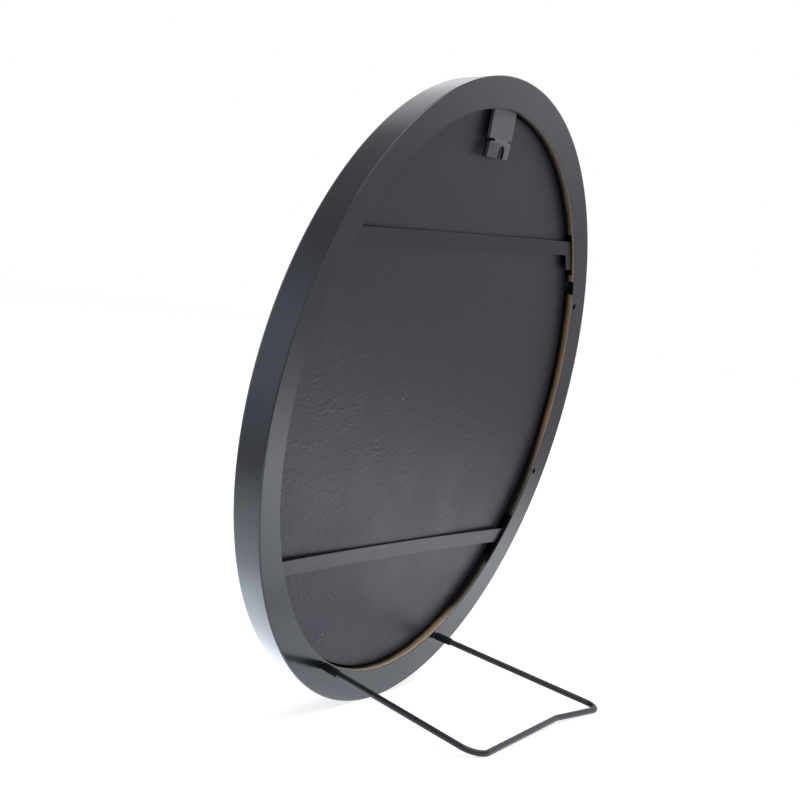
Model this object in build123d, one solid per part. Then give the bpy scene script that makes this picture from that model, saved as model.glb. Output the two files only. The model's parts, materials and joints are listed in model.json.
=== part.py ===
from build123d import *
import os
from math import asin, atan2, cos, degrees, hypot, radians, sin, sqrt, tan

os.makedirs("parts", exist_ok=True)

# Round photo frame with a wire stand. Sizes are in millimetres.
# Every piece is drawn upright about the ring's own axis, which is the Y axis: the front faces -Y,
# the flat back face lies in the plane Y = 0, and the frame's right hand, seen from behind, is -X.
# At the end the whole frame is leant back until it stands on its lower edge and its wire stand.

# Frame ring
ring_radius = 125.0
wall_taper = 3.8
back_band = 12.7
front_lip = 4.6
lip_overlap = 5.25
back_edge_round = 0.5
front_edge_round = 2.0
sight_edge_bevel = 1.2
rebate_radius = ring_radius - back_band
sight_radius = rebate_radius - lip_overlap

# Sheets stacked in the rebate, and how far the last one lies below the back face
back_recess = 4.0
facing_thickness = 0.3
board_thickness = 3.0
picture_thickness = 0.3
glass_thickness = 2.0
sheet_side_gap = 0.75
sheet_radius = rebate_radius - sheet_side_gap

# Depths from the back face forwards, which make the ring as deep as its sheets, lip and recess
facing_back = -back_recess
facing_front = facing_back - facing_thickness
board_front = facing_front - board_thickness
picture_front = board_front - picture_thickness
glass_front = picture_front - glass_thickness
ring_front = glass_front - front_lip

# Retaining strips and the undercut pockets that hold their ends
strip_width = 5.8
strip_thickness = 1.0
strip_clearance = 0.05
strip_bite = 3.75
strip_end_gap = 0.75
upper_strip_height = 60.4
upper_strip_tilt = radians(0.8)
lower_strip_height = -63.9
lower_strip_tilt = radians(-0.75)
claw_drop = 6.2
claw_width = 9.0
pocket_lip = 1.2
pocket_slot = 3.4
pocket_length = 17.6
upper_pocket_shift = -0.4
lower_pocket_shift = -2.5
strip_end_radius = rebate_radius + strip_bite
pocket_radius = strip_end_radius + strip_end_gap
upper_pocket_height = upper_strip_height + upper_pocket_shift
lower_pocket_height = lower_strip_height + lower_pocket_shift

# Small hole bored into the rebate wall below the upper right pocket
wall_hole_diameter = 5.2
wall_hole_depth = 3.5
wall_hole_below_pocket = 6.4
wall_hole_below_face = 3.0
wall_hole_height = upper_pocket_height - pocket_length / 2 - wall_hole_below_pocket

# Wire stand, its sleeves and the holes for it
wire_diameter = 2.4
wire_bend_radius = 5.0
stand_reach = 74.4
stand_drop = 7.85
stand_foot_spacing = 113.6
crossbar_bend_offset = 21.0
crossbar_bend_depth = 5.5
sleeve_wall = 0.35
sleeve_length = 8.0
sleeve_gap = 0.08
hole_clearance = 0.05
hole_floor = 4.2
hole_spare_depth = 1.0
hole_from_rebate = 2.2
stand_hole_spacing = 93.2
spare_hole_spacing = 74.0
hole_radius = wire_diameter / 2 + hole_clearance
hole_depth = -ring_front - hole_floor
wire_plug = hole_depth - hole_spare_depth
hole_circle_radius = rebate_radius + hole_from_rebate
stand_hole_height = -sqrt(hole_circle_radius**2 - (stand_hole_spacing / 2) ** 2)
spare_hole_side = -sqrt(hole_circle_radius**2 - (spare_hole_spacing / 2) ** 2)

# Hanger
hanger_width = 19.6
hanger_thickness = 1.2
hanger_tongue = 3.5
hanger_top_below_face = 1.3
hanger_plate_length = 11.6
hanger_plate_rise = 0.55
hanger_neck_length = 1.6
hanger_neck_width = 11.2
hanger_notch = 1.2
hanger_foot_length = 5.6
hanger_foot_width = 18.0
hanger_foot_rise = 1.45
hanger_foot_arch = 1.2
hanger_bend_radius = 0.6
nail_slot_width = 4.8
nail_slot_length = 5.0

# Length of a cut that has to pass right through
through = 4 * ring_radius

# The frame leans back until a level floor touches both the lower back edge of the ring, a round
# between the back face and the tapered wall, and the crossbar of the stand, a round wire.
wall_slope = atan2(wall_taper, -ring_front)
edge_radius = ring_radius - back_edge_round * (tan(wall_slope) + 1 / cos(wall_slope))
edge_to_bar_back = stand_reach + back_edge_round
edge_to_bar_up = stand_hole_height - stand_drop + edge_radius
lean = atan2(edge_to_bar_up, edge_to_bar_back) - asin(
    (wire_diameter / 2 - back_edge_round) / hypot(edge_to_bar_up, edge_to_bar_back)
)


def disc(radius, front, back):
    """A plain disc about the ring's axis between two depths."""
    face = Rectangle(radius, back - front, align=(Align.MIN, Align.MIN))
    return revolve(Pos(0, front) * face, Axis.Y)


def round_hole(side, height):
    """A blind round hole for the wire, straight into the back face."""
    return Pos(side, -hole_depth, height) * Rot(-90, 0, 0) * Cylinder(
        hole_radius, through, align=(Align.CENTER, Align.CENTER, Align.MIN)
    )


def pocket(height):
    """An undercut groove in the rebate wall on both sides, under a thin lip of the back face."""
    groove = disc(pocket_radius, -pocket_lip - pocket_slot, -pocket_lip)
    return groove & Pos(0, 0, height) * Box(through, through, pocket_length)


def wall_hole():
    """The small round hole bored outwards into the rebate wall, on the right seen from behind."""
    turn = degrees(asin(wall_hole_height / rebate_radius))
    bore = Pos(rebate_radius, -wall_hole_below_face, 0) * Rot(0, 90, 0) * Cylinder(
        wall_hole_diameter / 2, 2 * wall_hole_depth
    )
    return Rot(0, 180 + turn, 0) * bore


def hanger_pocket():
    """The slot at the top of the rebate wall that the hanger's tongue is pushed into."""
    top = rebate_radius + hanger_tongue
    return Pos(0, -hanger_top_below_face, top) * Box(
        hanger_width,
        hanger_thickness,
        2 * hanger_tongue,
        align=(Align.CENTER, Align.MAX, Align.MAX),
    )


def make_frame_ring():
    """A turned profile, bored for the stand and undercut for the strips and the hanger."""
    back_edge = (ring_radius, 0)
    front_edge = (ring_radius - wall_taper, ring_front)
    sight_edge = (sight_radius, ring_front)
    outline = Polyline(
        back_edge,
        front_edge,
        sight_edge,
        (sight_radius, glass_front),
        (rebate_radius, glass_front),
        (rebate_radius, 0),
        close=True,
    )
    profile = make_face(outline)
    for corner, rounding in ((back_edge, back_edge_round), (front_edge, front_edge_round)):
        profile = fillet(profile.vertices().sort_by_distance(corner)[0], rounding)
    profile = chamfer(profile.vertices().sort_by_distance(sight_edge)[0], sight_edge_bevel)
    ring = revolve(profile, Axis.Y)
    ring -= pocket(upper_pocket_height) + pocket(lower_pocket_height)
    for side in (-1, 1):
        ring -= round_hole(side * stand_hole_spacing / 2, stand_hole_height)
        ring -= round_hole(spare_hole_side, side * spare_hole_spacing / 2)
    return ring - wall_hole() - hanger_pocket()


def make_strip(height, tilt, drop=0.0):
    """A flat springy strip, bowed so that its middle bears on the board and its ends on the lips.

    The bow is one arc, and the ends are cut round so that they follow the pockets. The tilt lifts
    the right end, seen from behind, and there a claw along the pocket may drop below the strip.
    """
    edge = strip_width / 2 + drop
    rise = abs(height) * sin(abs(tilt))
    across = height**2 + edge**2 - 2 * abs(height) * edge * cos(tilt)
    half_length = rise + sqrt(rise**2 + strip_end_radius**2 - across)
    end_back = -pocket_lip - strip_clearance
    middle_back = facing_back + strip_clearance + strip_thickness
    bow = end_back - middle_back
    bow_radius = (half_length**2 + bow**2) / (2 * bow)
    band = Circle(bow_radius + strip_thickness) - Circle(bow_radius)
    band = Pos(0, middle_back + bow_radius) * band & Rectangle(through, through)
    lie = Pos(0, 0, height) * Rot(0, degrees(tilt), 0)
    strip = lie * extrude(band, strip_width / 2, both=True)
    if drop:
        pocket_band = disc(strip_end_radius, -through, through)
        pocket_band -= disc(strip_end_radius - claw_width, -through, through)
        pocket_band &= Pos(-through / 2, 0, 0) * Box(through, through, through)
        strip += lie * extrude(band, -edge) & pocket_band
    return strip & disc(strip_end_radius, -through, through)


def arched_section(crown):
    """The section across the hanger's foot: a band of sheet metal bowed backwards to its crown."""
    side = hanger_foot_width / 2
    edge = crown - hanger_foot_arch
    back_line = ThreePointArc((-side, edge), (0, crown), (side, edge))
    front_line = Pos(0, -hanger_thickness) * back_line
    sides = [Line(front_line @ end, back_line @ end) for end in (0, 1)]
    return make_face([back_line, front_line, *sides])


def make_hanger():
    """A pressed strap: tongue and plate, a notched neck, and an arched foot with an open nail slot."""
    top = rebate_radius + hanger_tongue
    plate_top = rebate_radius - hanger_thickness
    plate_end = rebate_radius - hanger_plate_length
    foot_top = plate_end - hanger_neck_length
    foot_end = foot_top - hanger_foot_length
    tongue_depth = -hanger_top_below_face - hanger_thickness / 2
    plate_depth = tongue_depth + hanger_plate_rise
    plate_slope = atan2(hanger_plate_rise, plate_top - plate_end)
    line = FilletPolyline(
        (tongue_depth, top),
        (tongue_depth, plate_top),
        (plate_depth + hanger_thickness * tan(plate_slope), plate_end - hanger_thickness),
        radius=hanger_bend_radius + hanger_thickness / 2,
    )
    strap = extrude(Plane.YZ * trace(line, hanger_thickness), hanger_width / 2, both=True)
    above = (Align.CENTER, Align.CENTER, Align.MIN)
    strap &= Pos(0, 0, plate_end) * Box(through, through, through, align=above)
    foot_section = arched_section(plate_depth + hanger_thickness / 2 + hanger_foot_rise)
    neck_top = Pos(0, plate_depth, plate_end) * Rectangle(
        hanger_foot_width, hanger_thickness / cos(plate_slope)
    )
    strap += loft([Pos(0, 0, foot_top) * foot_section, neck_top], ruled=True)
    strap += extrude(Pos(0, 0, foot_end) * foot_section, hanger_foot_length)
    notches = Pos(0, 0, plate_end - hanger_notch / 2) * Box(through, through, hanger_notch)
    notches -= Box(hanger_neck_width, through, through)
    slot_round = nail_slot_width / 2
    slot_straight = nail_slot_length - slot_round
    slot = Pos(0, 0, foot_end) * Box(nail_slot_width, through, 2 * slot_straight)
    slot += Pos(0, 0, foot_end + slot_straight) * Rot(90, 0, 0) * Cylinder(slot_round, through)
    return strap - notches - slot


def stand_points():
    """The corner points of the wire, from the end of one plug to the end of the other."""
    hole = stand_hole_spacing / 2
    foot = stand_foot_spacing / 2
    foot_height = stand_hole_height - stand_drop
    bend_back = stand_reach - crossbar_bend_depth
    bend_height = foot_height + stand_drop * crossbar_bend_depth / stand_reach
    return [
        (hole, -wire_plug, stand_hole_height),
        (hole, 0, stand_hole_height),
        (foot, stand_reach, foot_height),
        (-crossbar_bend_offset, bend_back, bend_height),
        (-foot, stand_reach, foot_height),
        (-hole, 0, stand_hole_height),
        (-hole, -wire_plug, stand_hole_height),
    ]


def make_stand_wire():
    """One round wire swept along its bent centre line."""
    path = FilletPolyline(*stand_points(), radius=wire_bend_radius)
    section = Plane(path @ 0, z_dir=path % 0) * Circle(wire_diameter / 2)
    return sweep(section, path)


def make_stand_sleeves():
    """Two tubes on the legs of the wire, just past the bend outside each hole."""
    sleeves = []
    points = [Vector(point) for point in stand_points()]
    tube = Circle(wire_diameter / 2 + sleeve_wall) - Circle(wire_diameter / 2)
    for end, mouth, foot in (points[:3], reversed(points[-3:])):
        plug = mouth - end
        leg = foot - mouth
        bend_length = wire_bend_radius * tan(radians(plug.get_angle(leg)) / 2)
        start = mouth + leg.normalized() * (bend_length + sleeve_gap)
        sleeves.append(extrude(Plane(start, z_dir=leg) * tube, sleeve_length))
    return Compound(sleeves)


pieces = {
    "frame_ring": make_frame_ring(),
    "glass_pane": disc(sheet_radius, glass_front, picture_front),
    "picture_insert": disc(sheet_radius, picture_front, board_front),
    "backing_board": disc(sheet_radius, board_front, facing_front),
    "board_facing": disc(sheet_radius, facing_front, facing_back),
    "upper_strip": make_strip(upper_strip_height, upper_strip_tilt, claw_drop),
    "lower_strip": make_strip(lower_strip_height, lower_strip_tilt),
    "hanger": make_hanger(),
    "stand_wire": make_stand_wire(),
    "stand_sleeves": make_stand_sleeves(),
}

# Lean the frame back, then set it on the floor with the middle of its footprint at the origin.
leant = {name: Rot(-degrees(lean), 0, 0) * piece for name, piece in pieces.items()}
box = Compound(list(leant.values())).bounding_box()
place = Pos(-box.center().X, -box.center().Y, -box.min.Z)
for name, piece in leant.items():
    export_step(place * piece, f"parts/{name}.step")
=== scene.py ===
import json
from math import asin, atan2, cos, pi, radians, sin, sqrt, tan

import bpy
import numpy as np
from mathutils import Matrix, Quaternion, Vector


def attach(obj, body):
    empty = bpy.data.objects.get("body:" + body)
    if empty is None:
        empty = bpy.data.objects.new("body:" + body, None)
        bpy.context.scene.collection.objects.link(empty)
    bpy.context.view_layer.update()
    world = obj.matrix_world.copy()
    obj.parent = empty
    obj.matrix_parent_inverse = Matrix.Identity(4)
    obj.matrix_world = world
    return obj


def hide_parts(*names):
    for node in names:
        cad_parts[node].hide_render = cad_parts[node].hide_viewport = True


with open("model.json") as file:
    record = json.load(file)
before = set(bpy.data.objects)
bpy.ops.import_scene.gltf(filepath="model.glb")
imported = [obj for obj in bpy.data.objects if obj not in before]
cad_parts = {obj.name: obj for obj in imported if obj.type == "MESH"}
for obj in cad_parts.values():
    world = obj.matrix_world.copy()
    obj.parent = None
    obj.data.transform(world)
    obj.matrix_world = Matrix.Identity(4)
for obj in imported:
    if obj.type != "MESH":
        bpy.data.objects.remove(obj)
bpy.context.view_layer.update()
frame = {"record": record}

# Frame ring
# The body of the frame, turned from fibreboard and sprayed satin black, with the rebate for the sheets left
# raw and brown. Undercut pockets in the rebate hold the strips, and blind holes in the back hold the stand.
mm = 0.001
ring_radius = 125.0 * mm
ring_depth = 14.2 * mm
wall_taper = 3.8 * mm
rebate_radius = 112.3 * mm
sight_radius = 107.05 * mm
lip_depth = 9.6 * mm
back_edge_round = 0.5 * mm
front_edge_round = 2.0 * mm
sight_edge_bevel = 1.2 * mm
rebate_edge_round = 0.25 * mm
support_gap = 0.2 * mm
pocket_lip = 1.2 * mm
pocket_slot = 3.4 * mm
pocket_radius = 116.8 * mm
pocket_length = 17.6 * mm
pocket_heights = (60.0 * mm, -66.4 * mm)
columns_around = 720
sharp_angle = radians(30)
hole_circle = 114.5 * mm
stand_hole_side = 46.6 * mm
stand_hole_up = -sqrt(hole_circle**2 - stand_hole_side**2)
wall_bore_up = 44.8 * mm

front_mount = next(mount for mount in frame["record"]["mounts"] if mount["name"] == "front_face")
side_axis = np.array([1.0, 0.0, 0.0])
back_axis = -np.array(front_mount["axis"])
up_axis = np.cross(side_axis, back_axis)
mount_height = (sight_radius + ring_radius - wall_taper) / 2
ring_middle = np.array(front_mount["pos_m"]) + ring_depth * back_axis - mount_height * up_axis
lean = atan2(up_axis[1], up_axis[2])


def stand_up(points):
    """Points (side, back, up) from the middle of the ring's back face, moved to where the leaning frame
    stands: the middle plus each distance times its axis."""
    return ring_middle + np.asarray(points) @ np.array([side_axis, back_axis, up_axis])


def grid_quads(rows, columns, close_rows=False, close_columns=False):
    """Quads between neighbouring points of a grid stored row by row. A closed direction also joins its last
    line of points to its first."""
    row = np.arange(rows if close_rows else rows - 1)
    column = np.arange(columns if close_columns else columns - 1)
    row, column = np.meshgrid(row, column, indexing="ij")
    next_row = (row + 1) % rows
    next_column = (column + 1) % columns
    corners = (
        row * columns + column,
        row * columns + next_column,
        next_row * columns + next_column,
        next_row * columns + column,
    )
    return np.stack(corners, axis=-1).reshape(-1, 4)


def make_mesh(name, points, quads, material_index=None):
    """A smooth mesh of quads whose edges turn sharp past an angle. Points that fall together become one; a
    quad that keeps three corners becomes a triangle, and one that keeps fewer goes."""
    weld = 1e-7
    keys = np.round(points / weld).astype(np.int64)
    first, place = np.unique(keys, axis=0, return_index=True, return_inverse=True)[1:]
    corners = place.reshape(-1)[quads]
    doubled = corners == np.roll(corners, 1, axis=1)
    whole = ~doubled.any(axis=1)
    pinched = doubled.sum(axis=1) == 1
    triangles = corners[pinched][~doubled[pinched]].reshape(-1, 3)
    mesh = bpy.data.meshes.new(name)
    mesh.from_pydata(points[first], [], corners[whole].tolist() + triangles.tolist())
    if material_index is not None:
        kept = np.concatenate([material_index[whole], material_index[pinched]])
        mesh.polygons.foreach_set("material_index", kept.astype(np.int32))
    mesh.shade_smooth()
    mesh.set_sharp_from_angle(angle=sharp_angle)
    return mesh


def add_piece(mesh, node, body, slot, *materials):
    """Shows a mesh in place of a node, moving with its body and finished with the given materials.
    The slot is not used.
    """
    piece = bpy.data.objects.new(mesh.name, mesh)
    bpy.context.scene.collection.objects.link(piece)
    for material in materials:
        mesh.materials.append(material)
    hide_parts(node)
    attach(piece, body)
    return piece


def arc(centre, radius, start, end, steps):
    """Points of an arc from one angle to another, in the plane of (distance from the axis, back)."""
    angle = np.linspace(start, end, steps)
    return np.stack([centre[0] + radius * np.cos(angle), centre[1] + radius * np.sin(angle)], axis=-1)


def ring_profile():
    """The ring's section as a closed line of (distance from the axis, back), and which of its runs are raw.
    It goes out along the back face, down the tapered wall, in along the front and back up the rebate."""
    slope = atan2(wall_taper, ring_depth)
    back_round_at = -back_edge_round
    front_round_at = front_edge_round - ring_depth
    back_centre = (
        ring_radius + back_round_at * tan(slope) - back_edge_round / cos(slope), back_round_at
    )
    front_centre = (
        ring_radius + front_round_at * tan(slope) - front_edge_round / cos(slope), front_round_at
    )
    rebate_centre = (rebate_radius + rebate_edge_round, -rebate_edge_round)
    back_round = arc(back_centre, back_edge_round, pi / 2, -slope, steps=9)
    front_round = arc(front_centre, front_edge_round, -slope, -pi / 2, steps=13)
    down_wall = np.array([-sin(slope), -cos(slope)]) * support_gap
    painted = [
        arc(rebate_centre, rebate_edge_round, pi, pi / 2, steps=5),
        [[rebate_centre[0] + support_gap, 0.0], [back_centre[0] - support_gap, 0.0]],
        back_round,
        [back_round[-1] + down_wall, front_round[0] - down_wall],
        front_round,
        [[front_centre[0] - support_gap, -ring_depth], [sight_radius + sight_edge_bevel, -ring_depth]],
        [[sight_radius, sight_edge_bevel - ring_depth], [sight_radius, -lip_depth]],
    ]
    pocket_front = -pocket_lip - pocket_slot
    raw = [
        [[rebate_radius, -lip_depth], [rebate_radius, pocket_front], [pocket_radius, pocket_front]],
        [[pocket_radius, -pocket_lip], [rebate_radius, -pocket_lip]],
    ]
    painted = np.concatenate(painted)
    raw = np.concatenate(raw)
    is_raw = np.arange(len(painted) + len(raw)) >= len(painted)
    return np.concatenate([painted, raw]), is_raw


def ring_columns():
    """Angles round the ring and whether each stands in a pocket. At both ends of a pocket there are two
    columns at one angle, one plain and one in the pocket, so that the end wall forms between them."""
    middle_radius = (rebate_radius + pocket_radius) / 2
    ends = []
    for height in pocket_heights:
        for end in (height - pocket_length / 2, height + pocket_length / 2):
            ends += [asin(end / middle_radius) % (2 * pi), pi - asin(end / middle_radius)]
    turn = np.arange(columns_around) * 2 * pi / columns_around
    angles = np.sort(np.concatenate([turn, ends, ends]))
    to_next = np.roll(angles, -1) - angles
    to_last = angles - np.roll(angles, 1)
    look = np.where(to_next > 0, angles + to_next / 2, angles - to_last / 2)
    height = middle_radius * np.sin(look)
    in_pocket = np.zeros(len(angles), dtype=bool)
    for middle in pocket_heights:
        in_pocket |= np.abs(height - middle) < pocket_length / 2
    return angles, in_pocket


def ring_mesh():
    """The section carried round the axis: side = r cos a, up = r sin a. Outside the pockets, the pocket's
    floor is drawn in to the rebate wall."""
    profile, is_raw = ring_profile()
    angles, in_pocket = ring_columns()
    in_groove = np.isclose(profile[:, 0], pocket_radius)
    distance = np.where(in_groove & ~in_pocket[:, None], rebate_radius, profile[:, 0])
    points = np.stack(
        [
            distance * np.cos(angles)[:, None],
            np.broadcast_to(profile[:, 1], distance.shape),
            distance * np.sin(angles)[:, None],
        ],
        axis=-1,
    )
    quads = grid_quads(len(angles), len(profile), close_rows=True, close_columns=True)
    raw_quads = np.tile(is_raw, len(angles)).astype(int)
    return make_mesh("turned_ring", stand_up(points.reshape(-1, 3)), quads, raw_quads)


def bores_mesh():
    """The holes drilled into the ring, as closed cylinders: two for the stand, two spare ones for standing
    the frame the other way, and one in the rebate wall below the upper right pocket. Each point is
    mouth + along way + out (cos t across + sin t round_about)."""
    bore_radius = 1.25 * mm
    bore_depth = 10.0 * mm
    spare_up = 37.0 * mm
    spare_side = -sqrt(hole_circle**2 - spare_up**2)
    mouths = (
        (stand_hole_side, stand_hole_up),
        (-stand_hole_side, stand_hole_up),
        (spare_side, spare_up),
        (spare_side, -spare_up),
    )
    inwards = np.array([0.0, -1.0, 0.0])
    bores = [(np.array([side, 0.0, up]), inwards, bore_radius, bore_depth) for side, up in mouths]
    wall_bore_radius = 2.6 * mm
    wall_bore_depth = 3.5 * mm
    wall_bore_back = -3.0 * mm
    wall_turn = pi - asin(wall_bore_up / rebate_radius)
    outwards = np.array([cos(wall_turn), 0.0, sin(wall_turn)])
    wall_mouth = outwards * rebate_radius + np.array([0.0, wall_bore_back, 0.0])
    bores.append((wall_mouth, outwards, wall_bore_radius, wall_bore_depth))
    over = 2.0 * mm
    steps = 32
    slanted = np.array([0.0, 0.6, 0.8])
    turn = np.arange(steps) * 2 * pi / steps
    points = []
    quads = []
    for mouth, way, radius, depth in bores:
        across = np.cross(way, slanted)
        across /= np.linalg.norm(across)
        round_about = np.cross(way, across)
        spoke = np.cos(turn)[:, None] * across + np.sin(turn)[:, None] * round_about
        section = ((-over, 0.0), (-over, radius), (depth, radius), (depth, 0.0))
        rows = [mouth + way * along + spoke * out for along, out in section]
        first = len(section) * steps * len(points)
        quads.append(grid_quads(len(section), steps, close_columns=True) + first)
        points.append(np.concatenate(rows))
    return make_mesh("bores", stand_up(np.concatenate(points)), np.concatenate(quads))


def put(tree, kind, inputs=None, **settings):
    """One shader node with its settings. Each input is a value or another node's output."""
    node = tree.nodes.new(kind)
    for name, value in settings.items():
        setattr(node, name, value)
    for name, value in (inputs or {}).items():
        if isinstance(value, bpy.types.NodeSocket):
            tree.links.new(value, node.inputs[name])
        else:
            node.inputs[name].default_value = value
    return node


def reckon(tree, operation, *values):
    """The result of one step of reckoning with values, such as ADD or MULTIPLY_ADD."""
    return put(tree, "ShaderNodeMath", dict(enumerate(values)), operation=operation).outputs["Value"]


def blend(tree, share, first, second):
    """The colour that goes from the first to the second as the share goes from 0 to 1. The mix node has
    sockets of one name for several kinds of data, so the ones for colours are told by their numbers."""
    mix = put(tree, "ShaderNodeMix", {0: share, 6: first, 7: second}, data_type="RGBA")
    return mix.outputs[2]


def spread(tree, value, low, high, to_low=0.0, to_high=1.0):
    """A value stretched from one range to another and kept inside it."""
    inputs = {"Value": value, "From Min": low, "From Max": high, "To Min": to_low, "To Max": to_high}
    return put(tree, "ShaderNodeMapRange", inputs).outputs["Result"]


def noise(tree, place, size, detail=3.0, roughness=0.55):
    """Soft noise whose patches are about one size across, in metres."""
    inputs = {"Vector": place, "Scale": 1.0 / size, "Detail": detail, "Roughness": roughness}
    return put(tree, "ShaderNodeTexNoise", inputs).outputs["Fac"]


def new_group(name, inputs, outputs):
    """An empty shader node group with named inputs, with their starting values, and named outputs."""
    group = bpy.data.node_groups.new(name, "ShaderNodeTree")
    for socket, value in inputs.items():
        made = group.interface.new_socket(socket, in_out="INPUT", socket_type="NodeSocketFloat")
        made.default_value = value
    for socket, kind in outputs.items():
        group.interface.new_socket(socket, in_out="OUTPUT", socket_type=kind)
    return group, group.nodes.new("NodeGroupOutput")


def ring_place_group():
    """Where a point is on the upright frame, as (side, back, up) from the middle of the back face."""
    group, result = new_group("ring place", {}, {"Place": "NodeSocketVector"})
    here = put(group, "ShaderNodeTexCoord").outputs["Object"]
    moved = put(group, "ShaderNodeVectorMath", {0: here, 1: tuple(ring_middle)}, operation="SUBTRACT")
    inputs = {"Vector": moved.outputs["Vector"], "Rotation": (lean, 0.0, 0.0)}
    turned = put(group, "ShaderNodeMapping", inputs)
    group.links.new(turned.outputs["Vector"], result.inputs["Place"])
    return group


def dust_group():
    """Sparse specks of dust: the middle of a few cells of a random cell pattern."""
    starts = {"Cell": 9.0 * mm, "Speck": 0.03, "Share": 0.2}
    group, result = new_group("dust", starts, {"Mask": "NodeSocketFloat"})
    given = group.nodes.new("NodeGroupInput").outputs
    here = put(group, "ShaderNodeTexCoord").outputs["Object"]
    scale = reckon(group, "DIVIDE", 1.0, given["Cell"])
    cells = put(group, "ShaderNodeTexVoronoi", {"Vector": here, "Scale": scale}).outputs
    draw = put(group, "ShaderNodeSeparateColor", {"Color": cells["Color"]}).outputs["Red"]
    near = reckon(group, "LESS_THAN", cells["Distance"], given["Speck"])
    chosen = reckon(group, "LESS_THAN", draw, given["Share"])
    group.links.new(reckon(group, "MULTIPLY", near, chosen), result.inputs["Mask"])
    return group


ring_place = ring_place_group()
dust = dust_group()


def new_material(name):
    """A material with its shader, and where a point of it is on the frame."""
    material = bpy.data.materials.new(name)
    material.use_nodes = True
    tree = material.node_tree
    place = put(tree, "ShaderNodeGroup", node_tree=ring_place).outputs["Place"]
    return material, tree, tree.nodes["Principled BSDF"], place


def dusted(tree, colour, cell, speck_colour):
    """A colour with sparse specks of dust on it, which are drawn from cells of one size."""
    specks = put(tree, "ShaderNodeGroup", {"Cell": cell}, node_tree=dust)
    return blend(tree, specks.outputs["Mask"], colour, speck_colour)


def finish_shader(tree, shader, colour, roughness, height, bump):
    """Joins colour, roughness and a height to a shader. The bump is what a height of 1 is in metres."""
    tree.links.new(colour, shader.inputs["Base Color"])
    tree.links.new(roughness, shader.inputs["Roughness"])
    bumped = put(tree, "ShaderNodeBump", {"Height": height, "Distance": bump, "Strength": 1.0})
    tree.links.new(bumped.outputs["Normal"], shader.inputs["Normal"])


def satin_paint():
    """Sprayed black paint with a faint orange peel, cloudy gloss and a little dust."""
    dark_paint = (0.009, 0.010, 0.016, 1)
    light_paint = (0.013, 0.014, 0.020, 1)
    dust_grey = (0.16, 0.16, 0.165, 1)
    material, tree, shader, place = new_material("satin black paint")
    cloud = noise(tree, place, size=40.0 * mm)
    peel = noise(tree, place, size=1.6 * mm, detail=1.0)
    paint = blend(tree, cloud, dark_paint, light_paint)
    colour = dusted(tree, paint, cell=9.0 * mm, speck_colour=dust_grey)
    roughness = spread(tree, cloud, 0.3, 0.7, 0.18, 0.25)
    shader.inputs["IOR"].default_value = 1.6
    finish_shader(tree, shader, colour, roughness, peel, bump=0.01 * mm)
    return material


def band(tree, value, middle, half, soft):
    """A share that is 1 within a distance of a middle value and fades over a soft edge."""
    away = reckon(tree, "ABSOLUTE", reckon(tree, "SUBTRACT", value, middle))
    return spread(tree, away, half + soft, half)


def largest(tree, first, *others):
    """The largest of some values."""
    for other in others:
        first = reckon(tree, "MAXIMUM", first, other)
    return first


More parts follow.
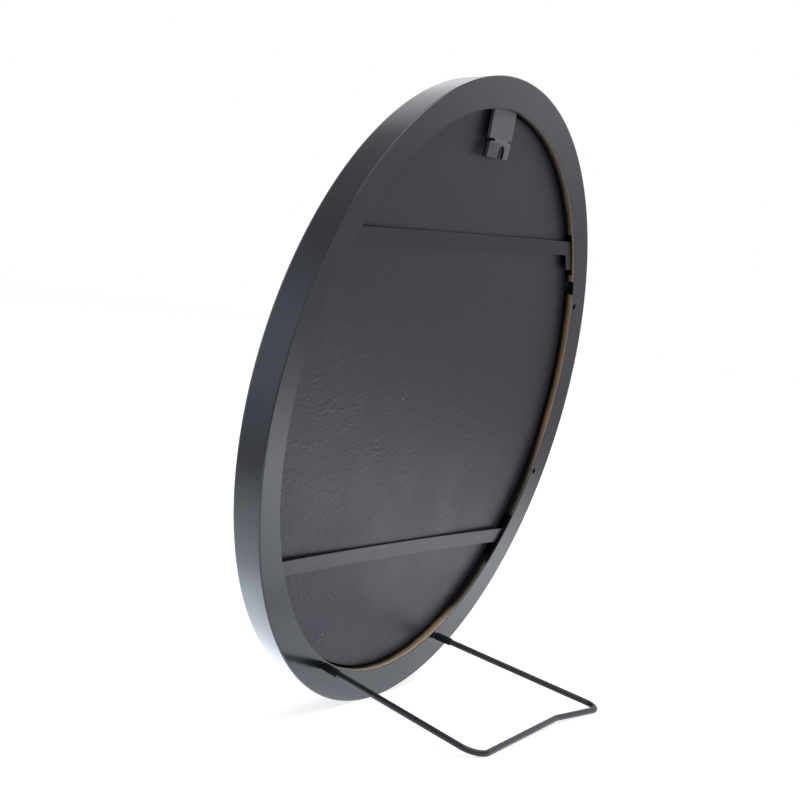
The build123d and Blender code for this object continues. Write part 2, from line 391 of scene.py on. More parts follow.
def raw_fibreboard():
    """Bare fibreboard: brown fibres, greyer towards the top, and pale at the cut edge by the back face.
    Painted shade makes the lower sides, round the lower pockets, greyer and darker olive, and painted shade
    darkens the depth of the rebate, the lower pockets, the mouth of the hole in the wall and the place where
    the hanger goes in."""
    dark_brown = (0.34, 0.185, 0.095, 1)
    light_brown = (0.60, 0.375, 0.215, 1)
    dark_grey = (0.19, 0.155, 0.090, 1)
    light_grey = (0.37, 0.315, 0.210, 1)
    pale_edge = (0.80, 0.62, 0.46, 1)
    # The olive and the near-black colours below are painted shade.
    olive_shade = (0.075, 0.064, 0.036, 1)
    painted_shade_black = (0.004, 0.004, 0.003, 1)
    shade_share = 0.75
    edge_share = 0.8
    material, tree, shader, place = new_material("raw fibreboard")
    parts = put(tree, "ShaderNodeSeparateXYZ", {"Vector": place}).outputs
    depth = parts["Y"]
    up = parts["Z"]
    fibre = noise(tree, place, size=0.6 * mm, detail=4.0, roughness=0.7)
    patch = noise(tree, place, size=9.0 * mm)
    brown = blend(tree, fibre, dark_brown, light_brown)
    grey = blend(tree, fibre, dark_grey, light_grey)
    near_top = spread(tree, up, 50.0 * mm, 85.0 * mm)
    below_sides = spread(tree, up, -16.0 * mm, -44.0 * mm)
    bare_below = spread(tree, up, -92.0 * mm, -100.0 * mm)
    # Painted shade: the lower sides of the wall, round the lower pockets, are made greyer and darker olive.
    lower_side_shade = reckon(tree, "SUBTRACT", below_sides, bare_below)
    near_floor = band(tree, up, -100.5 * mm, half=6.0 * mm, soft=4.5 * mm)
    dulled = spread(tree, up, -92.0 * mm, -104.0 * mm, 0.0, 0.6)
    bare = blend(tree, largest(tree, near_top, lower_side_shade, dulled), brown, grey)
    bare = blend(tree, spread(tree, depth, -1.2 * mm, -0.3 * mm, 0.0, edge_share), bare, pale_edge)
    bare = blend(tree, reckon(tree, "MULTIPLY", lower_side_shade, shade_share), bare, olive_shade)
    # Painted shade in the depth of the rebate: near-black below a line that comes nearer the back face on the
    # lower sides, stays deeper near the bottom of the ring and wanders in patches.
    shade_line = reckon(tree, "MULTIPLY_ADD", lower_side_shade, -0.9 * mm, depth)
    shade_line = reckon(tree, "MULTIPLY_ADD", near_floor, 0.4 * mm, shade_line)
    shade_line = reckon(tree, "MULTIPLY_ADD", patch, 1.0 * mm, shade_line)
    depth_shade = spread(tree, shade_line, -0.8 * mm, -2.5 * mm)
    # Painted shade, near-black, over the lower pockets, the mouth of the hole in the wall and the hanger's
    # slot at the top.
    lower_pocket_shade = band(tree, up, pocket_heights[1], half=9.5 * mm, soft=2.0 * mm)
    wall_bore = band(tree, up, wall_bore_up, half=2.7 * mm, soft=0.4 * mm)
    in_middle = band(tree, parts["X"], 0.0, half=12.0 * mm, soft=4.0 * mm)
    hanger_slot_shade = reckon(tree, "MULTIPLY", in_middle, spread(tree, up, 0.0, 10.0 * mm))
    dark = largest(tree, depth_shade, lower_pocket_shade, wall_bore, hanger_slot_shade)
    colour = blend(tree, dark, bare, painted_shade_black)
    shader.inputs["Specular IOR Level"].default_value = 0.12
    roughness = spread(tree, fibre, 0.2, 0.8, 0.75, 0.95)
    finish_shader(tree, shader, colour, roughness, fibre, bump=0.12 * mm)
    return material


def drill(piece, bores):
    """Takes the bores out of a piece for good; their walls get the piece's first material."""
    cutter = bpy.data.objects.new("bores", bores)
    bpy.context.scene.collection.objects.link(cutter)
    cut = piece.modifiers.new("bores", "BOOLEAN")
    cut.object = cutter
    cut.solver = "EXACT"
    with bpy.context.temp_override(object=piece, active_object=piece):
        bpy.ops.object.modifier_apply(modifier=cut.name)
    bpy.data.objects.remove(cutter)
    bpy.data.meshes.remove(bores)
    piece.data.set_sharp_from_angle(angle=sharp_angle)


ring = add_piece(ring_mesh(), "frame_ring", "frame", "ring_paint", satin_paint(), raw_fibreboard())
drill(ring, bores_mesh())

# Glass pane
# A round pane of clear float glass about 2 mm thick with ground edges. It lies on the ring's front lip, and
# the sheets behind it hold it there.
sheet_radius = 111.55 * mm
sheet_gap = 0.02 * mm
facing_back = -4.0 * mm
board_back = -4.3 * mm
picture_back = -7.3 * mm
glass_back = -7.6 * mm


def sheet_mesh(name, back, front, edge_round):
    """A round sheet: a section that goes from the middle of its back out, round its edge and in along its
    front, carried round the axis: side = r cos a, up = r sin a. It ends a hair short of the next sheet."""
    steps = 360
    rings = 40
    front = front + sheet_gap
    rim = sheet_radius - edge_round
    out = np.linspace(0.0, rim - edge_round, rings)
    profile = np.concatenate(
        [
            np.stack([out, np.full_like(out, back)], axis=-1),
            arc((rim, back - edge_round), edge_round, pi / 2, 0.0, steps=5),
            arc((rim, front + edge_round), edge_round, 0.0, -pi / 2, steps=5),
            np.stack([out[::-1], np.full_like(out, front)], axis=-1),
        ]
    )
    turn = np.arange(steps) * 2 * pi / steps
    points = np.stack(
        [
            np.cos(turn)[:, None] * profile[:, 0],
            np.broadcast_to(profile[:, 1], (steps, len(profile))),
            np.sin(turn)[:, None] * profile[:, 0],
        ],
        axis=-1,
    )
    quads = grid_quads(steps, len(profile), close_rows=True)
    return make_mesh(name, stand_up(points.reshape(-1, 3)), quads)


def clear_glass():
    """Clear glass whose polish is a little uneven where it was wiped."""
    material, tree, shader, place = new_material("clear glass")
    wipe = noise(tree, place, size=25.0 * mm, detail=4.0)
    shader.inputs["Base Color"].default_value = (0.97, 0.99, 0.98, 1)
    shader.inputs["Transmission Weight"].default_value = 1.0
    shader.inputs["IOR"].default_value = 1.5
    tree.links.new(spread(tree, wipe, 0.3, 0.7, 0.01, 0.03), shader.inputs["Roughness"])
    return material


pane = sheet_mesh("float_pane", glass_back, -lip_depth, edge_round=0.3 * mm)
add_piece(pane, "glass_pane", "frame", "pane", clear_glass())

# Picture insert
# The sheet that the frame shows: a plain piece of white paper without a print, cut round like the pane and
# pressed against it by the board.


def plain_paper():
    """White paper with faint fibres and clouds."""
    cloudy_white = (0.70, 0.69, 0.66, 1)
    clear_white = (0.76, 0.75, 0.73, 1)
    fibre_tone = (0.60, 0.58, 0.54, 1)
    material, tree, shader, place = new_material("plain paper")
    fibre = noise(tree, place, size=0.5 * mm, detail=5.0, roughness=0.7)
    cloud = noise(tree, place, size=12.0 * mm)
    paper = blend(tree, cloud, cloudy_white, clear_white)
    colour = blend(tree, spread(tree, fibre, 0.2, 0.8, 0.0, 0.3), paper, fibre_tone)
    roughness = spread(tree, fibre, 0.2, 0.8, 0.8, 0.95)
    finish_shader(tree, shader, colour, roughness, fibre, bump=0.02 * mm)
    return material


picture = sheet_mesh("plain_sheet", picture_back, glass_back, edge_round=0.05 * mm)
add_piece(picture, "picture_insert", "frame", "paper", plain_paper())

# Backing board
# A 3 mm hardboard disc behind the picture, which presses it and the pane against the ring's lip. Its edge
# shows brown in the gap beside the rebate wall.


def hardboard():
    """Pressed brown board with short dark fibres."""
    dark_fibre = (0.06, 0.034, 0.017, 1)
    light_fibre = (0.15, 0.09, 0.045, 1)
    material, tree, shader, place = new_material("hardboard")
    fibre = noise(tree, place, size=0.8 * mm, detail=5.0, roughness=0.75)
    colour = blend(tree, fibre, dark_fibre, light_fibre)
    roughness = spread(tree, fibre, 0.2, 0.8, 0.7, 0.9)
    finish_shader(tree, shader, colour, roughness, fibre, bump=0.1 * mm)
    return material


board = sheet_mesh("pressed_board", board_back, picture_back, edge_round=0.15 * mm)
add_piece(board, "backing_board", "frame", "hardboard", hardboard())

# Board facing
# Black paper with a pressed leather grain, glued over the back of the board. Its cut edge is a little
# rounded, and the grain shows where light falls along it.


def pressed_paper():
    """Black paper pressed with a patchy pebble grain that is drawn out sideways, flatter towards the top and
    deeper towards the left, a little dusty, and near-black and rough under the hanger's foot as painted
    shade."""
    pebble_size = 1.3 * mm
    wander = 1.2 * mm
    wander_size = 2.0 * mm
    grain_stretch = (0.5, 1.0, 1.0)
    dark_paper = (0.0175, 0.0155, 0.0270, 1)
    light_paper = (0.0225, 0.0202, 0.0330, 1)
    dust_grey = (0.40, 0.40, 0.41, 1)
    shadow_black = (0.004, 0.004, 0.005, 1)
    material, tree, shader, place = new_material("pressed black paper")
    parts = put(tree, "ShaderNodeSeparateXYZ", {"Vector": place}).outputs
    drawn = put(tree, "ShaderNodeMapping", {"Vector": place, "Scale": grain_stretch}).outputs["Vector"]
    inputs = {"Vector": drawn, "Scale": 1 / wander_size, "Detail": 2.0}
    stray = put(tree, "ShaderNodeTexNoise", inputs).outputs["Color"]
    inputs = {0: stray, 1: (wander,) * 3, 2: drawn}
    bent = put(tree, "ShaderNodeVectorMath", inputs, operation="MULTIPLY_ADD").outputs["Vector"]
    inputs = {"Vector": bent, "Scale": 1 / pebble_size}
    pebble = put(tree, "ShaderNodeTexVoronoi", inputs, feature="SMOOTH_F1").outputs["Distance"]
    bead = spread(tree, pebble, 0.0, 0.8, 1.0, 0.0)
    patchy = spread(tree, noise(tree, drawn, size=7.0 * mm), 0.45, 0.62, 0.3, 1.0)
    flatter = spread(tree, parts["Z"], 10.0 * mm, 60.0 * mm, 1.0, 0.35)
    deeper = spread(tree, parts["X"], -50.0 * mm, 80.0 * mm, 0.6, 1.4)
    pressed = reckon(tree, "MULTIPLY", reckon(tree, "MULTIPLY", patchy, flatter), deeper)
    grain = reckon(tree, "MULTIPLY", bead, pressed)
    cloud = noise(tree, place, size=30.0 * mm)
    paper = blend(tree, cloud, dark_paper, light_paper)
    colour = dusted(tree, paper, cell=11.0 * mm, speck_colour=dust_grey)
    # Painted shade: the paper under the hanger's foot is near-black and fully rough.
    under_foot = band(tree, parts["X"], -1.0 * mm, half=7.0 * mm, soft=1.5 * mm)
    painted_shade_under_foot = reckon(tree, "MULTIPLY", under_foot, spread(tree, parts["Z"], 92.0 * mm, 94.0 * mm))
    colour = blend(tree, painted_shade_under_foot, colour, shadow_black)
    roughness = largest(tree, spread(tree, cloud, 0.3, 0.7, 0.36, 0.44), painted_shade_under_foot)
    shader.inputs["Specular IOR Level"].default_value = 0.42
    finish_shader(tree, shader, colour, roughness, grain, bump=0.10 * mm)
    return material


facing = sheet_mesh("pressed_facing", facing_back, board_back, edge_round=0.1 * mm)
add_piece(facing, "board_facing", "frame", "facing", pressed_paper())

# Retaining strips
# Two flat springy steel strips, lacquered black, that hold the sheets in. Each is bowed so that its middle
# bears on the facing while its ends hook under the lips of the pockets. The upper one ends in a claw.
strip_width = 5.8 * mm
strip_thickness = 0.5 * mm
strip_end_radius = 116.05 * mm
strip_end_back = -1.5 * mm
strip_middle_back = -3.45 * mm
strip_edge_round = 0.07 * mm
upper_strip_height = 60.4 * mm
upper_strip_tilt = radians(0.8)
lower_strip_height = -63.9 * mm
lower_strip_tilt = radians(-0.75)
claw_width = 9.0 * mm
claw_drop = 6.2 * mm


def reach(radius, height, tilt, across):
    """How far along a strip a line at a distance across it meets a circle about the ring's axis, to the left
    and to the right seen from behind: the roots of side^2 + up^2 = radius^2."""
    half_sum = height * sin(tilt)
    rest = np.sqrt(radius**2 - (height * cos(tilt) + across) ** 2)
    return half_sum + rest, half_sum - rest


def strip_mesh(name, height, tilt, drop):
    """A sheet on a grid of lines along and across the strip. Its ends follow the pocket's circle, and the
    last lines at the right end go on downwards for the claw. The bow is one arc,
    back = middle + r - root(r^2 - along^2)."""
    ends_right = np.linspace(strip_end_radius - claw_width, strip_end_radius, num=7)
    across = np.linspace(-strip_width / 2, strip_width / 2, num=7)
    left = reach(strip_end_radius, height, tilt, across)[0]
    right = reach(ends_right[:, None], height, tilt, across)[1]
    share = np.linspace(0.0, 1.0, num=96, endpoint=False)[:, None]
    along = np.concatenate([left + (right[0] - left) * share, right])
    rows, columns = along.shape
    sheets = [(along, np.broadcast_to(across, along.shape))]
    quads = [grid_quads(rows, columns)]
    if drop:
        below = np.linspace(-strip_width / 2 - drop, -strip_width / 2, num=8)
        claw = reach(ends_right[:, None], height, tilt, below)[1]
        sheets.append((claw, np.broadcast_to(below, claw.shape)))
        quads.append(grid_quads(*claw.shape) + rows * columns)
    along = np.concatenate([sheet[0].reshape(-1) for sheet in sheets])
    across = np.concatenate([sheet[1].reshape(-1) for sheet in sheets])
    lowest = strip_width / 2 + drop
    ends = reach(strip_end_radius, height, tilt, np.array([-lowest, lowest]))
    half_length = np.abs(ends).max()
    bow = strip_end_back - strip_middle_back
    bow_radius = (half_length**2 + bow**2) / (2 * bow)
    back = strip_middle_back + bow_radius - np.sqrt(bow_radius**2 - along**2)
    side = along * cos(tilt) + across * sin(tilt)
    up = height - along * sin(tilt) + across * cos(tilt)
    return make_mesh(name, stand_up(np.stack([side, back, up], axis=-1)), np.concatenate(quads))


def thicken(piece, thickness, edge_round, offset=-1.0):
    """Gives a sheet its thickness and rounds its edges. At an offset of -1 the sheet is the back of the
    piece, and at 0 it is its middle."""
    solid = piece.modifiers.new("thickness", "SOLIDIFY")
    solid.thickness = thickness
    solid.offset = offset
    edges = piece.modifiers.new("edges", "BEVEL")
    edges.width = edge_round
    edges.segments = 3
    edges.limit_method = "ANGLE"
    edges.angle_limit = radians(40)
    edges.harden_normals = True


def black_lacquer(name, dark, light, gloss, peel_size, mirror=0.5):
    """Thin black lacquer on metal: faint streaks along the part, a fine peel and cloudy gloss."""
    dust_grey = (0.2, 0.2, 0.2, 1)
    streak_stretch = (0.06, 1.0, 1.0)
    gloss_range = 0.1
    material, tree, shader, place = new_material(name)
    shader.inputs["Specular IOR Level"].default_value = mirror
    cloud = noise(tree, place, size=12.0 * mm, detail=4.0)
    streaked = put(tree, "ShaderNodeMapping", {"Vector": place, "Scale": streak_stretch}).outputs["Vector"]
    streak = noise(tree, streaked, size=0.5 * mm, detail=3.0)
    peel = noise(tree, place, size=peel_size, detail=2.0)
    lacquer = blend(tree, cloud, dark, light)
    colour = dusted(tree, lacquer, cell=7.0 * mm, speck_colour=dust_grey)
    roughness = spread(tree, reckon(tree, "ADD", cloud, streak), 0.7, 1.3, gloss, gloss + gloss_range)
    finish_shader(tree, shader, colour, roughness, peel, bump=0.012 * mm)
    return material


strip_lacquer = black_lacquer(
    "strip lacquer",
    dark=(0.005, 0.005, 0.008, 1),
    light=(0.009, 0.009, 0.013, 1),
    gloss=0.25,
    peel_size=0.9 * mm,
)
# The upper strip gets a shaded copy of the same lacquer, darker and less reflective, as painted shade.
shaded_strip_lacquer = black_lacquer(
    "upper strip lacquer in painted shade",
    dark=(0.006, 0.0045, 0.009, 1),
    light=(0.010, 0.008, 0.015, 1),
    gloss=0.25,
    peel_size=0.9 * mm,
    mirror=0.43,
)
claw_strip = strip_mesh("claw_strip", upper_strip_height, upper_strip_tilt, claw_drop)
plain_strip = strip_mesh("plain_strip", lower_strip_height, lower_strip_tilt, 0.0)
upper_strip = add_piece(claw_strip, "upper_strip", "upper_retainer", "strip_metal", shaded_strip_lacquer)
lower_strip = add_piece(plain_strip, "lower_strip", "lower_retainer", "strip_metal", strip_lacquer)
for strip in (upper_strip, lower_strip):
    thicken(strip, strip_thickness, strip_edge_round)

# Hanger
# A pressed steel strap at the top, pushed into a slot in the rebate wall. Below its plate it is notched on
# both sides, and its foot is pressed out into an arch with an open slot, which hooks over a nail.
hanger_width = 19.6 * mm
hanger_thickness = 1.2 * mm
hanger_edge_round = 0.1 * mm
tongue_top = 115.8 * mm
tongue_depth = -1.9 * mm
plate_top = 111.1 * mm
plate_end = 100.7 * mm
plate_depth = -1.35 * mm
neck_width = 11.2 * mm
foot_width = 18.0 * mm
foot_top = 99.1 * mm
foot_end = 93.5 * mm
foot_crown = 0.1 * mm
foot_arch = 1.2 * mm
wing_top = 99.5 * mm
wing_round = 1.0 * mm
slot_width = 4.8 * mm
slot_length = 5.0 * mm


def hanger_back(up, across):
    """How far back the middle of the sheet lies. Along the tongue and the plate it follows their line; down
    the neck that line turns into the foot's arch, crown - (r - root(r^2 - across^2))."""
    radius = ((foot_width / 2) ** 2 + foot_arch**2) / (2 * foot_arch)
    line = np.interp(up, [plate_end, plate_top, tongue_top], [plate_depth, tongue_depth, tongue_depth])
    arched = foot_crown - radius + np.sqrt(radius**2 - across**2)
    share = np.clip((plate_end - up) / (plate_end - foot_top), 0.0, 1.0)
    return line + (arched - line) * share


def hanger_mesh():
    """Three sheets on each side, whose common edges fall together: the core, from the middle or the slot's
    rim to the width of the neck, and beside it the wings of the plate and of the foot. The rim's half width
    is constant below the slot's round top and root(r^2 - d^2) in it; the foot's upper corners are rounded."""
    slot_round = slot_width / 2
    round_middle = foot_end + slot_length - slot_round
    turn = np.linspace(0.0, pi / 2, num=9)
    runs = [
        np.linspace(tongue_top, plate_top, num=3),
        np.linspace(plate_top, plate_end, num=7),
        np.linspace(plate_end, foot_top, num=7),
        wing_top - wing_round * (1 - np.sin(turn)),
        round_middle + slot_round * np.cos(turn),
        np.linspace(round_middle, foot_end, num=4),
    ]
    stops = np.unique(np.round(np.concatenate(runs), decimals=9))[::-1]
    rim = np.sqrt(np.clip(slot_round**2 - np.clip(stops - round_middle, 0.0, None) ** 2, 0.0, None))
    corner = np.clip(stops - wing_top + wing_round, 0.0, wing_round)
    foot_side = foot_width / 2 - wing_round + np.sqrt(wing_round**2 - corner**2)
    neck_side = np.full_like(stops, neck_width / 2)
    plate_side = np.full_like(stops, hanger_width / 2)
    everywhere = np.full(stops.shape, True)
    hair = 1e-8
    core = 0
    wing = 2
    sheets = [
        (core, everywhere, rim, neck_side),
        (wing, stops > plate_end - hair, neck_side, plate_side),
        (wing, stops < wing_top + hair, neck_side, foot_side),
    ]
    share = np.linspace(0.0, 1.0, num=7)
    points = []
    quads = []
    finish = []
    count = 0
    for material, rows, inner, outer in sheets:
        across = inner[rows, None] + (outer - inner)[rows, None] * share
        up = np.broadcast_to(stops[rows, None], across.shape)
        for hand in (-1, 1):
            sheet = np.stack([hand * across, hanger_back(up, across), up], axis=-1)
            points.append(sheet[:, ::-hand].reshape(-1, 3))
            quads.append(grid_quads(*across.shape) + count)
            finish.append(np.full(len(quads[-1]), material))
            count += across.size
    points = stand_up(np.concatenate(points))
    return make_mesh("pressed_hanger", points, np.concatenate(quads), np.concatenate(finish))


hanger_lacquer = black_lacquer(
    "hanger lacquer",
    dark=(0.090, 0.090, 0.095, 1),
    light=(0.118, 0.118, 0.124, 1),
    gloss=0.34,
    peel_size=0.8 * mm,
)
# The same lacquer, darkened near-black as painted shade, for the core's cut edges.
shaded_cut_edge = black_lacquer(
    "hanger cut edge in painted shade",
    dark=(0.006, 0.006, 0.006, 1),
    light=(0.010, 0.010, 0.011, 1),
    gloss=0.5,
    peel_size=0.8 * mm,
)
# The rim of a sheet takes the finish after the sheet's own, so the core's cut edges, round the slot and at
# the notches, are near-black as painted shade, and the wings are lacquered all round.
hanger_finishes = (hanger_lacquer, shaded_cut_edge, hanger_lacquer, hanger_lacquer)
hanger = add_piece(hanger_mesh(), "hanger", "frame", "hanger_metal", *hanger_finishes)
thicken(hanger, hanger_thickness, hanger_edge_round, offset=0.0)
hanger.modifiers["thickness"].material_offset_rim = 1

# Wire stand
# One round steel wire, lacquered black: two legs that plug into the lower holes and a crossbar between them
# that rests on the table, pressed in a little off its middle.
wire_radius = 1.2 * mm
wire_bend_radius = 5.0 * mm
left_corner_radius = 7.0 * mm
bar_bend_radius = 14.0 * mm
bend_steps = 12
plug_length = 9.0 * mm
stand_reach = 74.4 * mm
stand_drop = 7.85 * mm
bar_end_side = 56.8 * mm
bar_bend_side = -21.0 * mm
bar_bend_depth = 4.2 * mm
bar_up = stand_hole_up - stand_drop
bar_bend_up = stand_hole_up - stand_drop * (1 - bar_bend_depth / stand_reach)
wire_corners = np.array(
    [
        [stand_hole_side, -plug_length, stand_hole_up],
        [stand_hole_side, 0.0, stand_hole_up],
        [bar_end_side, stand_reach, bar_up],
        [bar_bend_side, stand_reach - bar_bend_depth, bar_bend_up],
        [-bar_end_side, stand_reach, bar_up],
        [-stand_hole_side, 0.0, stand_hole_up],
        [-stand_hole_side, -plug_length, stand_hole_up],
    ]
)
bend_radii = (wire_bend_radius, left_corner_radius, bar_bend_radius, wire_bend_radius, wire_bend_radius)


def rounded_path(corners, radii, steps):
    """A path through corner points whose corners are arcs: each starts along one run and turns through the
    angle between the runs, point = start + r (sin t along + (1 - cos t) across)."""
    path = [corners[:1]]
    for before, corner, after, radius in zip(corners[:-2], corners[1:-1], corners[2:], radii):
        along = (corner - before) / np.linalg.norm(corner - before)
        onwards = (after - corner) / np.linalg.norm(after - corner)
        turn = np.arccos(np.clip(along @ onwards, -1.0, 1.0))
        across = (onwards - along * cos(turn)) / sin(turn)
        start = corner - along * radius * tan(turn / 2)
        angle = np.linspace(0.0, turn, steps)[:, None]
        path.append(start + radius * (np.sin(angle) * along + (1 - np.cos(angle)) * across))
    path.append(corners[-1:])
    return np.concatenate(path)


def tube_mesh(name, path, radius, steps=24):
    """Circles carried along a path, square to it: point = path + r (cos t across + sin t over). The ends are
    drawn in to a point."""
    way = np.gradient(path, axis=0)
    way /= np.linalg.norm(way, axis=1)[:, None]
    across = np.cross(way, [0.0, 0.0, 1.0])
    across /= np.linalg.norm(across, axis=1)[:, None]
    over = np.cross(across, way)
    turn = np.arange(steps) * 2 * pi / steps
    spoke = np.cos(turn)[:, None] * across[:, None] + np.sin(turn)[:, None] * over[:, None]
    points = path[:, None] + spoke * radius
    start = np.broadcast_to(path[0], (1, steps, 3))
    end = np.broadcast_to(path[-1], (1, steps, 3))
    points = np.concatenate([start, points, end])
    quads = grid_quads(len(points), steps, close_columns=True)
    return make_mesh(name, stand_up(points.reshape(-1, 3)), quads)


wire_path = rounded_path(wire_corners, bend_radii, bend_steps)
wire_lacquer = black_lacquer(
    "wire lacquer",
    dark=(0.010, 0.010, 0.011, 1),
    light=(0.018, 0.018, 0.020, 1),
    gloss=0.3,
    peel_size=0.8 * mm,
)
wire = tube_mesh("bent_wire", wire_path, wire_radius)
add_piece(wire, "stand_wire", "stand", "wire_metal", wire_lacquer)

# Stand sleeves
# Two short sleeves of matt black plastic, cut from thin tube. They are pushed onto the legs of the stand,
# up to the bends outside the holes.
sleeve_radius = 1.55 * mm
sleeve_length = 7.0 * mm
sleeve_gap = 0.08 * mm
sleeve_round = 0.15 * mm


def sleeves_mesh():
    """Two rings with rounded rims carried round the legs: out from the wire, along the leg and in again.
    Each point is start + along leg + out (cos t across + sin t over)."""
    steps = 32
    rim_out = sleeve_radius - sleeve_round
    near_rim = arc((rim_out, sleeve_round), sleeve_round, -pi / 2, 0.0, steps=4)
    far_rim = arc((rim_out, sleeve_length - sleeve_round), sleeve_round, 0.0, pi / 2, steps=4)
    profile = np.concatenate([[[wire_radius, 0.0]], near_rim, far_rim, [[wire_radius, sleeve_length]]])
    turn = np.arange(steps) * 2 * pi / steps
    points = []
    for plug_end, mouth, foot in (wire_corners[:3], wire_corners[:-4:-1]):
        plug = (mouth - plug_end) / np.linalg.norm(mouth - plug_end)
        leg = (foot - mouth) / np.linalg.norm(foot - mouth)
        bend_length = wire_bend_radius * tan(np.arccos(plug @ leg) / 2)
        start = mouth + leg * (bend_length + sleeve_gap)
        across = np.cross(leg, [0.0, 0.0, 1.0])
        across /= np.linalg.norm(across)
        over = np.cross(across, leg)
        spoke = np.cos(turn)[:, None] * across + np.sin(turn)[:, None] * over
        points.append(start + profile[:, None, :1] * spoke + profile[:, None, 1:] * leg)
    one = grid_quads(len(profile), steps, close_rows=True, close_columns=True)
    quads = np.concatenate([one, one + steps * len(profile)])
    points = np.concatenate([sleeve.reshape(-1, 3) for sleeve in points])
    return make_mesh("stand_sleeve_pair", stand_up(points), quads)


def matt_plastic():
    """Matt black plastic with a fine moulded texture."""
    dark_plastic = (0.003, 0.003, 0.003, 1)
    light_plastic = (0.007, 0.007, 0.007, 1)
    material, tree, shader, place = new_material("matt black plastic")
    grain = noise(tree, place, size=0.4 * mm, detail=3.0)
    colour = blend(tree, grain, dark_plastic, light_plastic)
    shader.inputs["Specular IOR Level"].default_value = 0.2
    roughness = spread(tree, grain, 0.3, 0.7, 0.6, 0.75)
    finish_shader(tree, shader, colour, roughness, grain, bump=0.03 * mm)
    return material


add_piece(sleeves_mesh(), "stand_sleeves", "stand", "sleeve", matt_plastic())

# Table, light and camera
# A white table and white surroundings, a wide lamp overhead with two smaller ones behind and in front, and
# the camera behind the frame and to its left, a little above its middle, where the picture was taken from.
scene = bpy.context.scene
scene.view_settings.view_transform = "Standard"
white = (1.0, 1.0, 1.0, 1)


def distance_from(tree, place, middle):
    """How far a place is from a middle point."""
    return put(tree, "ShaderNodeVectorMath", {0: place, 1: middle}, operation="DISTANCE").outputs["Value"]


def white_floor():
    """A wide white sheet on the floor that keeps the frame's shadow. It reads as white to the camera. In
    reflections it glows as painted light: bright in a pool around the frame but dimmer right beside it, as a
    painted shadow of the frame, bright in a spot in front of it, dim further away, and bluer towards the
    frame's left."""
    half = 3.0
    pool_middle = (-0.04, 0.05, 0.0)
    spot_middle = (0.06, -0.08, 0.0)
    camera_glow = 0.78
    plain_tint = (1.0, 0.985, 1.01, 1)
    cool_tint = (0.84, 0.99, 1.17, 1)
    corners = np.array([[-half, -half, 0.0], [half, -half, 0.0], [half, half, 0.0], [-half, half, 0.0]])
    mesh = make_mesh("floor", corners, np.array([[0, 1, 2, 3]]))
    material = bpy.data.materials.new("white floor")
    material.use_nodes = True
    tree = material.node_tree
    shader = tree.nodes["Principled BSDF"]
    shader.inputs["Base Color"].default_value = (0.43, 0.43, 0.43, 1)
    shader.inputs["Roughness"].default_value = 1.0
    shader.inputs["Specular IOR Level"].default_value = 0.0
    seen = put(tree, "ShaderNodeLightPath").outputs
    here = put(tree, "ShaderNodeTexCoord").outputs["Object"]
    parts = put(tree, "ShaderNodeSeparateXYZ", {"Vector": here}).outputs
    mirrored_tint = blend(tree, spread(tree, parts["X"], -0.6, 0.5), plain_tint, cool_tint)
    tint = blend(tree, seen["Is Glossy Ray"], white, mirrored_tint)
    tree.links.new(tint, shader.inputs["Emission Color"])
    # Painted light for reflections only: a pool dimmed close to the frame as painted shadow, a spot in front,
    # and a faint glow far off.
    away = distance_from(tree, here, pool_middle)
    rising = spread(tree, away, 0.04, 0.22, 0.6, 1.0)
    fading = spread(tree, away, 0.24, 0.48, 1.2, 0.0)
    pool = reckon(tree, "MULTIPLY", rising, fading)
    spot = spread(tree, distance_from(tree, here, spot_middle), 0.03, 0.11, 2.1, 0.0)
    far = spread(tree, away, 0.7, 1.2, 0.0, 0.15)
    in_front = spread(tree, parts["Y"], -0.2, -0.7, 0.0, 0.4)
    mirrored = reckon(tree, "MULTIPLY", largest(tree, pool, spot, far, in_front), seen["Is Glossy Ray"])
    shown = largest(tree, seen["Is Camera Ray"], seen["Is Transmission Ray"])
    glow = reckon(tree, "MULTIPLY_ADD", shown, camera_glow, mirrored)
    tree.links.new(glow, shader.inputs["Emission Strength"])
    mesh.materials.append(material)
    floor = bpy.data.objects.new("floor", mesh)
    scene.collection.objects.link(floor)


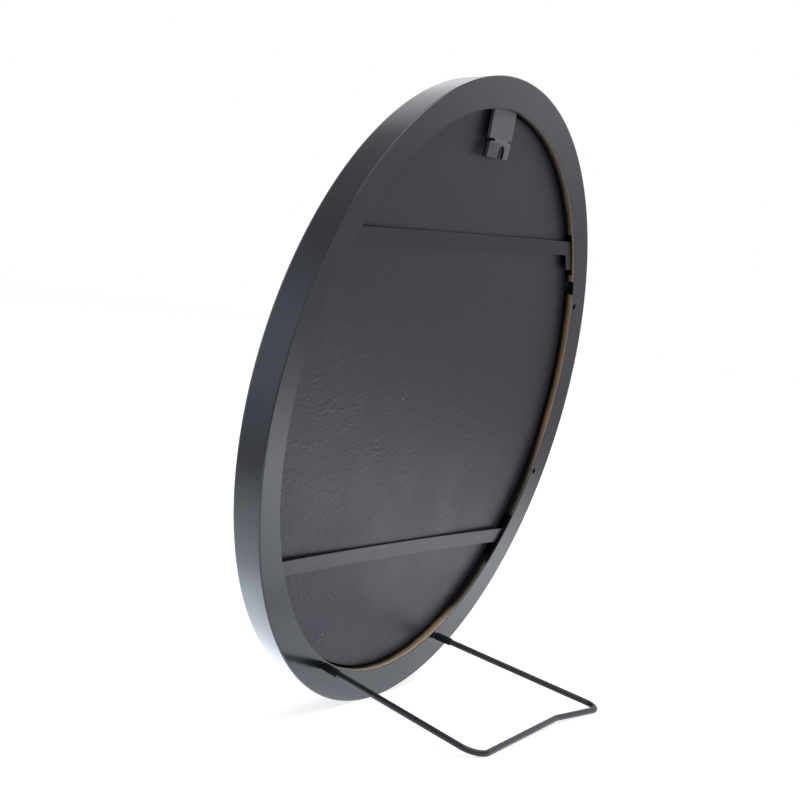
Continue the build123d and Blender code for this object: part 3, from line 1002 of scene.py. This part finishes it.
def white_world():
    """White all round for the camera, and a soft light for the rest, a little bluer from the frame's left. In
    reflections it is brighter low down than overhead."""
    soft_light = 0.5
    plain_tint = (0.97, 0.975, 1.05, 1)
    cool_tint = (0.87, 0.985, 1.15, 1)
    world = bpy.data.worlds.new("white studio")
    world.use_nodes = True
    tree = world.node_tree
    seen = put(tree, "ShaderNodeLightPath").outputs
    shown = largest(tree, seen["Is Camera Ray"], seen["Is Transmission Ray"])
    way = put(tree, "ShaderNodeTexCoord").outputs["Generated"]
    parts = put(tree, "ShaderNodeSeparateXYZ", {"Vector": way}).outputs
    haze = spread(tree, parts["Z"], 0.3, 0.6, 0.45, -0.05)
    sky = reckon(tree, "MULTIPLY_ADD", haze, seen["Is Glossy Ray"], soft_light)
    tree.links.new(largest(tree, sky, shown), tree.nodes["Background"].inputs["Strength"])
    light_tint = blend(tree, spread(tree, parts["X"], 0.0, 0.7), plain_tint, cool_tint)
    tint = blend(tree, shown, light_tint, white)
    tree.links.new(tint, tree.nodes["Background"].inputs["Color"])
    scene.world = world


def add_lamp(name, place, aim, size, power):
    """A square soft lamp at a place, turned towards the point that it lights."""
    lamp = bpy.data.lights.new(name, "AREA")
    lamp.size = size
    lamp.energy = power
    lamp_object = bpy.data.objects.new(name, lamp)
    lamp_object.location = place
    lamp_object.rotation_euler = (Vector(aim) - Vector(place)).to_track_quat("-Z", "Y").to_euler()
    scene.collection.objects.link(lamp_object)


def add_camera():
    """The camera, aimed at a point near the middle of the back face and rolled as it was held."""
    place = Vector(stand_up([0.7276, 0.3474, 0.1112]))
    target = Vector(stand_up([0.0337, -0.0004, -0.0015]))
    roll = Quaternion((0.0, 0.0, 1.0), radians(5.578))
    camera = bpy.data.cameras.new("camera")
    camera.lens = 94.275
    camera.sensor_width = 36.0
    camera_object = bpy.data.objects.new("camera", camera)
    camera_object.location = place
    camera_object.rotation_mode = "QUATERNION"
    camera_object.rotation_quaternion = (target - place).to_track_quat("-Z", "Y") @ roll
    scene.collection.objects.link(camera_object)
    scene.camera = camera_object


white_floor()
white_world()
add_lamp("overhead lamp", place=(0.1, 0.2, 1.4), aim=(0.0, 0.0, 0.1), size=1.4, power=9.0)
add_lamp("edge lamp", place=(-0.35, 0.65, 1.3), aim=(0.0, 0.0, 0.2), size=0.5, power=4.0)
add_lamp("front lamp", place=(-1.0, -0.8, 1.0), aim=(0.0, 0.0, 0.2), size=0.8, power=1.6)
add_camera()
